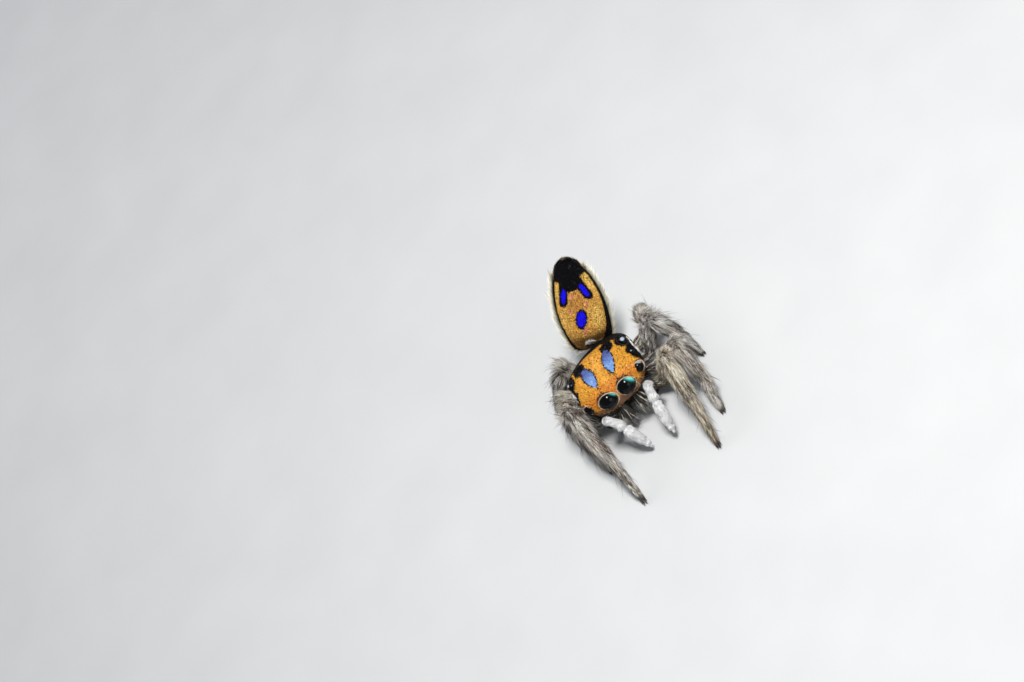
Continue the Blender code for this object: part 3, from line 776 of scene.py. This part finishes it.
SCALES_PER_PLATE = 16000
SCALE_LENGTH, SCALE_WIDTH = 0.050, 0.024
carapace_scales = Coat()
top_roots = Roots(
    "carapace", SCALES_PER_PLATE, lambda place, share, turn: 0.25 + 0.75 * ramp(place[:, 2], 0.9, 1.3)
)
top_tints = top_roots.marking(0.006)
golden = ramp(top_tints[:, 0], 0.3, 0.5) * (draw.random(len(top_roots)) < 0.10)
carapace_scales.scales(
    top_roots,
    top_roots.turned(0.22),
    SCALE_LENGTH * np.exp(draw.normal(0, 0.15, len(top_roots))),
    SCALE_WIDTH,
    0.20,
    varied(laid(top_tints, (0.16, 0.06, 0.015), golden), 0.20, 0.08),
)
carapace_scales.build("carapace_scales", scale_finish)

# The scales and fringe of the abdomen.
# The back of the abdomen is a stiff plate of bright scales. Cream hair covers the flanks and belly, and
# stands out along both edges of the plate as a wispy fringe, with a tuft of white hair in the middle of the
# base.
abdomen_scales = Coat()


def off_edge(turn):
    """Degrees from the edge of the plate, more than 0 on the flank."""
    lean = lean_of(turn)
    return np.abs(lean) - np.where(lean > 0, 86, 98)


back_roots = Roots("abdomen", SCALES_PER_PLATE, lambda place, share, turn: ramp(-off_edge(turn), -4, 4))
back_tints = back_roots.marking(0.006)
dull = ramp(back_tints[:, 0], 0.12, 0.3)
fleck = draw.random(len(back_roots))
back_tints = laid(back_tints, BROWN, dull * (fleck < 0.16))
back_tints = laid(back_tints, PALE_GOLD, dull * (fleck > 0.92) * 0.8)
abdomen_scales.scales(
    back_roots,
    back_roots.turned(0.2),
    SCALE_LENGTH * np.exp(draw.normal(0, 0.15, len(back_roots))),
    SCALE_WIDTH,
    0.18,
    varied(back_tints, 0.32, 0.12),
)
abdomen_scales.build("abdomen_scales", scale_finish)

hair_finish = Finish("hair", IOR=1.45, Specular_IOR_Level=0.3)
strand = hair_finish.noise(50.0, 2.0)
hair_finish.feed(
    Base_Color=hair_finish.mix(0.82 + 0.18 * strand, (0.02, 0.015, 0.01, 1), hair_finish.tint()),
    Roughness=0.45 + 0.2 * strand,
)

abdomen_hair = Coat()
flank_roots = Roots("abdomen", 5600, lambda place, share, turn: ramp(off_edge(turn), 4, 14))
abdomen_hair.hairs(
    flank_roots,
    flank_roots.turned(0.18),
    0.17 + 0.05 * draw.random(len(flank_roots)),
    0.012,
    0.03 + 0.03 * draw.random(len(flank_roots)),
    varied(flank_roots.marking(0.01), 0.3, 0.05),
)
FRINGE_LENGTH = 0.17
edge_roots = Roots(
    "abdomen",
    5200,
    lambda place, share, turn: ramp(-np.abs(off_edge(turn) - 4), -9, -4) * ramp(-share, -0.88, -0.80),
)
pale_edge = ramp(-edge_roots.share, -0.85, -0.78)
edge_tints = laid(evenly(BELLY_GREY, len(edge_roots)), (0.95, 0.89, 0.70), pale_edge)
abdomen_hair.hairs(
    edge_roots,
    unit(edge_roots.turned(0.16) + edge_roots.out * (0.22 + 0.34 * draw.random(len(edge_roots)))[:, None]),
    FRINGE_LENGTH * np.exp(draw.normal(0, 0.35, len(edge_roots))),
    0.0135,
    0.03,
    varied(flecked(edge_tints, 0.07, DARK_BROWN), 0.2, 0.04),
    root_to_tip_shade=0.2,
)
tuft_roots = Roots(
    "abdomen", 7000, lambda place, share, turn: (spot(share, lean_of(turn), 0.12, 2, 0.03, 12) < 1) * 1.0
)
abdomen_hair.hairs(
    tuft_roots,
    unit(tuft_roots.turned(0.4) + tuft_roots.out * 0.3),
    0.12,
    0.014,
    0.035,
    varied(evenly((1.25, 1.20, 1.08), len(tuft_roots)), 0.15, 0.03),
)
for i in range(4):
    tail_roots = Roots(f"spinner_{i}", 110)
    abdomen_hair.hairs(
        tail_roots,
        tail_roots.turned(0.2),
        0.09,
        0.011,
        0.015,
        varied(evenly((0.05, 0.04, 0.03), len(tail_roots)), 0.3, 0.05),
    )
abdomen_hair.build("abdomen_hair", hair_finish)

# The hair under the body.
# Short grey hair covers the underside between the legs and the thin waist, where no leg or jaw hides it.
chest_hair = Coat()
for part, count in (("chest", 1500), ("waist", 420)):
    under_roots = Roots(part, count)
    chest_hair.hairs(
        under_roots,
        under_roots.turned(0.25),
        0.11,
        0.012,
        0.02,
        varied(flecked(evenly((0.20, 0.17, 0.14), len(under_roots)), 0.4, (0.42, 0.38, 0.32)), 0.25, 0.05),
    )
chest_hair.build("chest_hair", hair_finish)

# The hair of the legs.
# Long fine hairs, pale over dark, lie down each leg in streaks from the hip to the foot and thicken its
# outline. Stiff dark bristles, up to half a millimetre long, stand clear of them over the knees and shins.
HAIRS_PER_LEG = 5900
BRISTLES_PER_LEG = 90
LEG_HAIR_LENGTH, LEG_HAIR_WIDTH = 0.30, 0.0105
BRISTLE_LENGTH, LONGEST_BRISTLE = 0.36, 0.5
LEG_TONES = {
    ("left", 1): ((0.06, 0.048, 0.036), (0.42, 0.33, 0.23), (0.88, 0.79, 0.62)),
    ("left", 2): ((0.055, 0.046, 0.04), (0.36, 0.30, 0.25), (0.86, 0.81, 0.73)),
    ("left", 3): ((0.055, 0.046, 0.04), (0.35, 0.30, 0.26), (0.86, 0.82, 0.76)),
    ("left", 4): ((0.05, 0.042, 0.036), (0.32, 0.27, 0.22), (0.76, 0.70, 0.60)),
    ("right", 1): ((0.05, 0.040, 0.033), (0.30, 0.24, 0.19), (0.84, 0.79, 0.72)),
    ("right", 2): ((0.055, 0.046, 0.042), (0.35, 0.30, 0.26), (0.82, 0.77, 0.70)),
    ("right", 3): ((0.05, 0.042, 0.036), (0.30, 0.25, 0.19), (0.72, 0.66, 0.55)),
    ("right", 4): ((0.045, 0.040, 0.034), (0.34, 0.28, 0.21), (0.86, 0.83, 0.77)),
}
STREAKS = (22, 7)
for word, sign in SIDES:
    for pair in ((1, 2), (3, 4)):
        leg_hair = Coat()
        for column, number in enumerate(pair):
            leg_roots = Roots(
                f"leg_{word}_{number}",
                HAIRS_PER_LEG,
                lambda place, share, turn: 0.25 + 0.75 * ramp(share, 0.02, 0.2),
            )
            size = len(leg_roots)
            tones = np.array(LEG_TONES[word, number])
            streak = draw.random(STREAKS)
            turn = leg_roots.turn + draw.normal(0, 0.04, size)
            around = (turn / TAU * STREAKS[0]).astype(int) % STREAKS[0]
            share = leg_roots.share + draw.normal(0, 0.03, size)
            down = np.clip(share * STREAKS[1], 0, STREAKS[1] - 1).astype(int)
            pick = 0.55 * streak[around, down] + 0.45 * draw.random(size)
            tone = np.where(pick < 0.36, 0, np.where(pick < 0.52, 1, 2))
            # Painted shade: hairs on the underside of each leg are darker, where they face down, away from
            # the light.
            underside_shade = 0.55 + 0.45 * ramp(leg_roots.out[:, 2], -0.8, 0.3)
            to_foot = ramp(leg_roots.share, 0.78, 1.0)
            to_hip = ramp(-leg_roots.share, -0.22, -0.05)
            length = (LEG_HAIR_LENGTH - 0.16 * to_foot - 0.12 * to_hip) * np.exp(draw.normal(0, 0.22, size))
            length = np.minimum(length, 0.05 + np.maximum(leg_roots.place[:, 2] - 0.03, 0) / 0.85)
            rise = (0.058 - 0.03 * to_foot - 0.02 * to_hip) * (0.25 + 0.85 * draw.random(size) ** 2)
            tints = varied(tones[tone] * underside_shade[:, None], 0.32, 0.05)
            tints = laid(tints, DARK_BROWN, ramp(leg_roots.share, 0.95, 0.99))
            leg_hair.hairs(
                leg_roots,
                leg_roots.turned(0.12),
                length,
                LEG_HAIR_WIDTH,
                rise,
                tints,
                columns=(column, 2),
            )
            bristle_roots = Roots(
                f"leg_{word}_{number}",
                BRISTLES_PER_LEG,
                lambda place, share, turn: 0.2 * ramp(share, 0.3, 0.4) * ramp(-share, -0.95, -0.85)
                + ramp(-np.abs(share - 0.40), -0.07, -0.02),
            )
            size = len(bristle_roots)
            level = np.minimum(1, bristle_roots.place[:, 2] / 0.5)
            leg_hair.hairs(
                bristle_roots,
                unit(bristle_roots.turned(0.25) + bristle_roots.out * (0.5 * draw.random(size))[:, None]),
                np.minimum(BRISTLE_LENGTH * np.exp(draw.normal(0, 0.25, size)), LONGEST_BRISTLE) * level,
                0.014,
                0.10 * level,
                varied(evenly((0.012, 0.010, 0.009), size), 0.3, 0.05),
                columns=(column, 2),
                root_to_tip_shade=0.1,
            )
        leg_hair.build(f"leg_hair_{word}_{pair[0]}{pair[1]}", hair_finish)

# The palps' white hair.
# Dense flat white hairs, almost scales, cover each palp from its bend to its tip, with dark hair on the arm
# behind.
palp_hair = Coat()
for column, (word, sign) in enumerate(SIDES):
    arm_roots = Roots(f"palp_{word}", 900, lambda place, share, turn: ramp(-share, -0.24, -0.20))
    palp_hair.hairs(
        arm_roots,
        arm_roots.turned(0.2),
        0.12,
        0.012,
        0.025,
        varied(flecked(evenly((0.07, 0.058, 0.05), len(arm_roots)), 0.25, (0.42, 0.38, 0.33)), 0.25, 0.05),
        columns=(column, 2),
    )
    palp_roots = Roots(f"palp_{word}", 3900, lambda place, share, turn: ramp(share, 0.20, 0.23))
    palp_hair.hairs(
        palp_roots,
        palp_roots.turned(0.12),
        0.10 * np.exp(draw.normal(0, 0.2, len(palp_roots))),
        0.015,
        0.010 + 0.008 * draw.random(len(palp_roots)),
        varied(flecked(evenly((1.03, 1.03, 1.04), len(palp_roots)), 0.05, (0.42, 0.40, 0.39)), 0.13, 0.015),
        columns=(column, 2),
        root_to_tip_shade=0.15,
    )
palp_hair.build("palp_hair", hair_finish)

# The jaws' hair.
# Long grey and cream hairs hang from under the face over the front of the two dark jaws.
jaw_hair = Coat()
for column, (word, sign) in enumerate(SIDES):
    jaw_roots = Roots(
        f"jaw_{word}", 64, lambda place, share, turn: 0.1 + 0.9 * ramp(-place[:, 1], 0.9, 1.05)
    )
    jaw_hair.hairs(
        jaw_roots,
        jaw_roots.turned(0.2),
        0.34 * np.exp(draw.normal(0, 0.25, len(jaw_roots))),
        0.0095,
        0.07,
        varied(flecked(evenly((0.08, 0.07, 0.06), len(jaw_roots)), 0.42, (0.85, 0.80, 0.70)), 0.25, 0.05),
        columns=(column, 2),
        fall=0.15,
    )
jaw_hair.build("jaw_hair", hair_finish)

# The hair of the face.
# A ring of short cream and pink hairs frames each of the four front eyes, and a dark one each of the four
# behind. Brown and cream hairs hang below them, and a line of long white hairs runs along both sides of the
# head below the rear eyes.
EYE_FACING = {
    "main": (0.04, -1.0, 0.06),
    "front_side": (0.42, -0.90, 0.12),
    "small": (0.80, -0.10, 0.60),
    "rear": (0.74, 0.14, 0.66),
}
RING_TINTS = {
    "main": ((0.95, 0.78, 0.55), (0.80, 0.36, 0.22)),
    "front_side": ((0.92, 0.76, 0.58), (0.72, 0.36, 0.24)),
    "small": ((0.02, 0.017, 0.015), (0.06, 0.05, 0.04)),
    "rear": ((0.02, 0.017, 0.015), (0.06, 0.05, 0.04)),
}
HAIR_LINE = (
    (0.90, 0.20, 1.44),
    (0.955, 0.02, 1.49),
    (0.965, -0.20, 1.50),
    (0.975, -0.33, 1.36),
    (0.97, -0.42, 1.24),
)


class Placed(Roots):
    """Roots set one by one along a line on the skin."""

    def __init__(self, place, out, lie):
        self.place, self.out, self.lie = place, out, lie
        self.turn = np.arctan2(place[:, 0], -place[:, 1]) % TAU
        self.share = np.clip((place[:, 2] - 0.8) / 1.1, 0, 1)


face_hair = Coat()
for (eye, word), (centre, radius) in eye_places.items():
    sign = 1 if word == "left" else -1
    facing = unit(np.array(EYE_FACING[eye]) * (sign, 1, 1))
    over = unit(np.cross(facing, np.cross((0, 0, 1.0), facing)))
    beside = np.cross(facing, over)
    count = int(1500 * radius) + 60
    around = (np.arange(count) + draw.random(count) * 0.5) / count * TAU
    out = over * np.cos(around)[:, None] + beside * np.sin(around)[:, None]
    tangent = beside * np.cos(around)[:, None] - over * np.sin(around)[:, None]
    depth = 0.22 if eye in ("main", "front_side") else -0.05
    place = centre + facing * radius * depth + out * (radius * math.sqrt(1 - depth**2) + 0.014)
    ring_roots = Placed(place, out, unit(tangent + out * 0.12 + facing * 0.1))
    pale, deep = RING_TINTS[eye]
    face_hair.hairs(
        ring_roots,
        ring_roots.turned(0.12),
        0.06,
        0.010,
        0.008,
        varied(flecked(evenly(pale, count), 0.25, deep), 0.15, 0.05),
    )
brow_roots = Roots(
    "carapace",
    3000,
    lambda place, share, turn: ramp(-place[:, 1], 0.80, 0.95)
    * ramp(-place[:, 2], -1.42, -1.30)
    * ramp(place[:, 2], 0.9, 1.0),
)
hanging = np.array((0, -0.2, -1.0))
brow_roots.lie = unit(hanging - brow_roots.out * (brow_roots.out @ hanging)[:, None])
face_hair.hairs(
    brow_roots,
    brow_roots.turned(0.3),
    0.10 * np.exp(draw.normal(0, 0.25, len(brow_roots))),
    0.012,
    0.02,
    varied(flecked(evenly((0.42, 0.17, 0.04), len(brow_roots)), 0.3, (0.80, 0.66, 0.46)), 0.25, 0.06),
)
for word, sign in SIDES:
    line = np.array(HAIR_LINE) * (sign, 1, 1)
    share = np.sort(draw.random(150)) * 3.2
    first = np.minimum(share.astype(int), 3)
    place = line[first] + (line[first + 1] - line[first]) * (share - first)[:, None]
    line_roots = Placed(
        place + draw.normal(0, 0.006, place.shape),
        unit(np.tile((sign, 0.0, 0.5), (len(place), 1))),
        unit(line[first + 1] - line[first]),
    )
    face_hair.hairs(
        line_roots,
        line_roots.turned(0.10),
        0.15,
        0.012,
        0.015,
        varied(evenly((0.88, 0.88, 0.86), len(place)), 0.08, 0.02),
    )
face_hair.build("face_hair", hair_finish)

# The eyes.
# Eight simple eyes of clear, glassy cuticle over dark depths. A painted reflection of the light above lies
# in
# the colour of each: a green crescent on the upper part of the large front pair, and a pale grey one on the
# others.
EYE_STEPS = (64, 40)
# The painted reflection in each eye: its colour where brightest, and per eye the direction where it is
# brightest, with the cosines from it where it starts and where it is full.
OUTER_PAINTED_REFLECTION = {"main": (0.28, 0.92, 0.85, 1), "front_side": (0.40, 0.48, 0.54, 1)}
EYE_PAINTED_REFLECTION = {
    ("main", "left"): ((0.866, 0.285, 0.409), 0.42, 0.90),
    ("main", "right"): ((0.866, 0.285, 0.409), 0.60, 0.92),
    ("front_side", "left"): ((0.64, 0.39, 0.66), 0.66, 0.90),
    ("front_side", "right"): ((0.30, 0.30, 0.90), 0.92, 0.98),
    ("rear", "left"): ((0.45, -0.15, 0.88), 0.80, 0.96),
    ("rear", "right"): ((-0.45, -0.15, 0.88), 0.93, 0.99),
    ("small", "left"): ((0.45, -0.15, 0.88), 0.92, 0.99),
    ("small", "right"): ((-0.45, -0.15, 0.88), 0.92, 0.99),
}
for (eye, word), (centre, radius) in eye_places.items():
    glass = Finish(f"{eye}_eye_glass_{word}", IOR=1.4, Roughness=0.07, Specular_IOR_Level=0.22)
    middle = tuple(centre + HOME)
    away = glass.node("ShaderNodeVectorMath", {"operation": "SUBTRACT"}, {0: glass.place(), 1: middle})
    away = glass.node("ShaderNodeVectorMath", {"operation": "NORMALIZE"}, {0: away})
    toward, start, full = EYE_PAINTED_REFLECTION[eye, word]
    toward = tuple(unit(np.array(toward)))
    facing = glass.node("ShaderNodeVectorMath", {"operation": "DOT_PRODUCT"}, {0: away, 1: toward}, output=1)
    # Painted reflection: colour laid on the part of each eye that faces the light above, standing in for
    # that light reflected in it.
    painted_reflection = glass.node(
        "ShaderNodeMapRange", {"interpolation_type": "SMOOTHSTEP"}, {0: facing, 1: start, 2: full}
    )
    painted_reflection = painted_reflection * (0.75 + 0.25 * glass.noise(9.0))
    outer = OUTER_PAINTED_REFLECTION.get(eye, (0.42, 0.50, 0.60, 1))
    reflection_edge_colour = (0.002, 0.085, 0.07, 1) if eye == "main" else (0.02, 0.024, 0.03, 1)
    reflection_colour = glass.mix(painted_reflection**1.6, reflection_edge_colour, outer)
    glass.feed(Base_Color=glass.mix(painted_reflection**0.7, (0.0012, 0.0015, 0.002, 1), reflection_colour))
    down = np.linspace(0, 1, EYE_STEPS[1] + 1)[1:-1]
    share, turn = np.meshgrid(down, np.arange(EYE_STEPS[0]) / EYE_STEPS[0] * TAU, indexing="ij")
    ring = np.sin(np.pi * share)
    globe = np.stack([ring * np.cos(turn), np.cos(np.pi * share), ring * np.sin(turn)], -1)
    points = [*(globe.reshape(-1, 3) * radius + centre), centre + (0, radius, 0), centre - (0, radius, 0)]
    index = np.arange(globe.shape[0] * globe.shape[1]).reshape(globe.shape[:2])
    faces = []
    for low, high in zip(index, index[1:]):
        faces += list(zip(low, high, np.roll(high, -1), np.roll(low, -1)))
    faces += [(a, b, len(points) - 2) for a, b in zip(index[0], np.roll(index[0], -1))]
    faces += [(b, a, len(points) - 1) for a, b in zip(index[-1], np.roll(index[-1], -1))]
    ball = mesh_piece(f"{eye}_eye_{word}", np.array(points), [tuple(map(int, face)) for face in faces])
    ball.data.materials.append(glass.material)
    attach(ball, "root")
    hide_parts(f"eye_{eye}_{word}")

# The claws.
# Two small dark curved claws of hard cuticle end each foot, over a pad of short dark hair.
claw_points, claw_faces, counted = [], [], 0
for (word, number), (knee, ankle, toe) in STANCE.items():
    sign = 1 if word == "left" else -1
    ahead = unit(np.array((sign * (toe[0] - ankle[0]), toe[1] - ankle[1], 0)))
    beside = np.cross(ahead, (0, 0, 1))
    for spread in (-1, 1):
        start = np.array((sign * toe[0], toe[1], 0.06)) + beside * spread * 0.02
        out = ahead + beside * spread * 0.25
        bend = start + out * 0.05 + (0, 0, 0.012)
        point = start + out * 0.09 - (0, 0, 0.045)
        claw = limb_surface([(start, 0.018), (bend, 0.014), (point, 0.003)])
        points, faces = ring_shell(claw, 12, 8)
        claw_points.append(points)
        claw_faces += [tuple(int(corner) + counted for corner in face) for face in faces]
        counted += len(points)
claws = mesh_piece("claws", np.concatenate(claw_points), claw_faces)
claw_finish = Finish("claw_horn", IOR=1.5)
claw_finish.feed(
    Base_Color=claw_finish.mix(claw_finish.noise(30.0), (0.008, 0.006, 0.005, 1), (0.03, 0.018, 0.010, 1)),
    Roughness=0.2 + 0.15 * claw_finish.noise(60.0),
)
claws.data.materials.append(claw_finish.material)
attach(claws, "root")

# The floor and the light.
# A plain pale floor carries the model, under soft lamps like those of a small studio.
FLOOR_SIZE = 0.6
floor = bpy.data.objects.new("floor", bpy.data.meshes.new("floor"))
corners = [(x * FLOOR_SIZE, y * FLOOR_SIZE, 0) for x, y in ((-1, -1), (1, -1), (1, 1), (-1, 1))]
floor.data.from_pydata(corners, [], [(0, 1, 2, 3)])
bpy.context.scene.collection.objects.link(floor)
floor_finish = Finish("pale_floor", Roughness=0.8)
pale = floor_finish.mix(floor_finish.noise(0.4), (0.46, 0.47, 0.48, 1), (0.52, 0.53, 0.54, 1))
floor_finish.feed(Base_Color=pale)
floor.data.materials.append(floor_finish.material)
floor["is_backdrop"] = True


def lamp(name, place, aim, size, watts, colour=(1, 1, 1)):
    data = bpy.data.lights.new(name, "AREA")
    data.shape, data.size, data.energy, data.color = "DISK", size * MM, watts, colour
    made = bpy.data.objects.new(name, data)
    made.location = in_row(place)
    toward = Vector(in_row(aim)) - made.location
    made.rotation_euler = toward.to_track_quat("-Z", "Y").to_euler()
    bpy.context.scene.collection.objects.link(made)


HEAD = (0, -0.5, 1.4)
lamp("key", (14, -12, 48), HEAD, 14, 0.036, (1, 0.98, 0.95))
lamp("fill", (30, -42, 18), HEAD, 34, 0.006, (0.92, 0.96, 1))
lamp("rim", (-22, 38, 34), HEAD, 24, 0.007)
world = bpy.data.worlds.new("studio")
world.use_nodes = True
world.node_tree.nodes["Background"].inputs["Color"].default_value = (0.75, 0.80, 0.86, 1)
world.node_tree.nodes["Background"].inputs["Strength"].default_value = 0.32
bpy.context.scene.world = world

# The camera.
# It looks down on the spider's face from its left, 45 degrees above the floor, and is rolled so that the
# abdomen points up the frame.
LENS = 100.0
SENSOR = 36.0
VIEW_AZIMUTH = math.radians(14.8)
VIEW_HEIGHT = math.radians(45)
VIEW_ROLL = math.radians(52.1)
VIEW_DISTANCE = 69.4
VIEW_AIM = np.array((0, -0.3, 1.4))
AIM_RIGHT, AIM_UP = -2.30, 0.80
toward_camera = np.array(
    (
        math.cos(VIEW_HEIGHT) * math.sin(VIEW_AZIMUTH),
        -math.cos(VIEW_HEIGHT) * math.cos(VIEW_AZIMUTH),
        math.sin(VIEW_HEIGHT),
    )
)
level = np.array((math.cos(VIEW_AZIMUTH), math.sin(VIEW_AZIMUTH), 0))
upward = np.cross(toward_camera, level)
right = math.cos(VIEW_ROLL) * level - math.sin(VIEW_ROLL) * upward
upward = math.sin(VIEW_ROLL) * level + math.cos(VIEW_ROLL) * upward
camera_place = VIEW_AIM + toward_camera * VIEW_DISTANCE
backward = unit(camera_place - (VIEW_AIM + right * AIM_RIGHT + upward * AIM_UP))
right = unit(right - backward * np.dot(right, backward))
upward = np.cross(backward, right)
camera_data = bpy.data.cameras.new("camera")
camera_data.lens, camera_data.sensor_width = LENS, SENSOR
camera_data.clip_start, camera_data.clip_end = 0.002, 5
camera = bpy.data.objects.new("camera", camera_data)
turned = np.eye(4)
turned[:3, 0], turned[:3, 1], turned[:3, 2] = right, upward, backward
turned[:3, 3] = in_row(camera_place)
camera.matrix_world = Matrix(turned)
bpy.context.scene.collection.objects.link(camera)
bpy.context.scene.camera = camera

bpy.context.scene.view_settings.view_transform = "Standard"

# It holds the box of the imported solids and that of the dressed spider, so that the two can be compared.
shown_low, shown_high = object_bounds()
{"cad": [list(solid_low), list(solid_high)], "visual": [list(shown_low), list(shown_high)]}
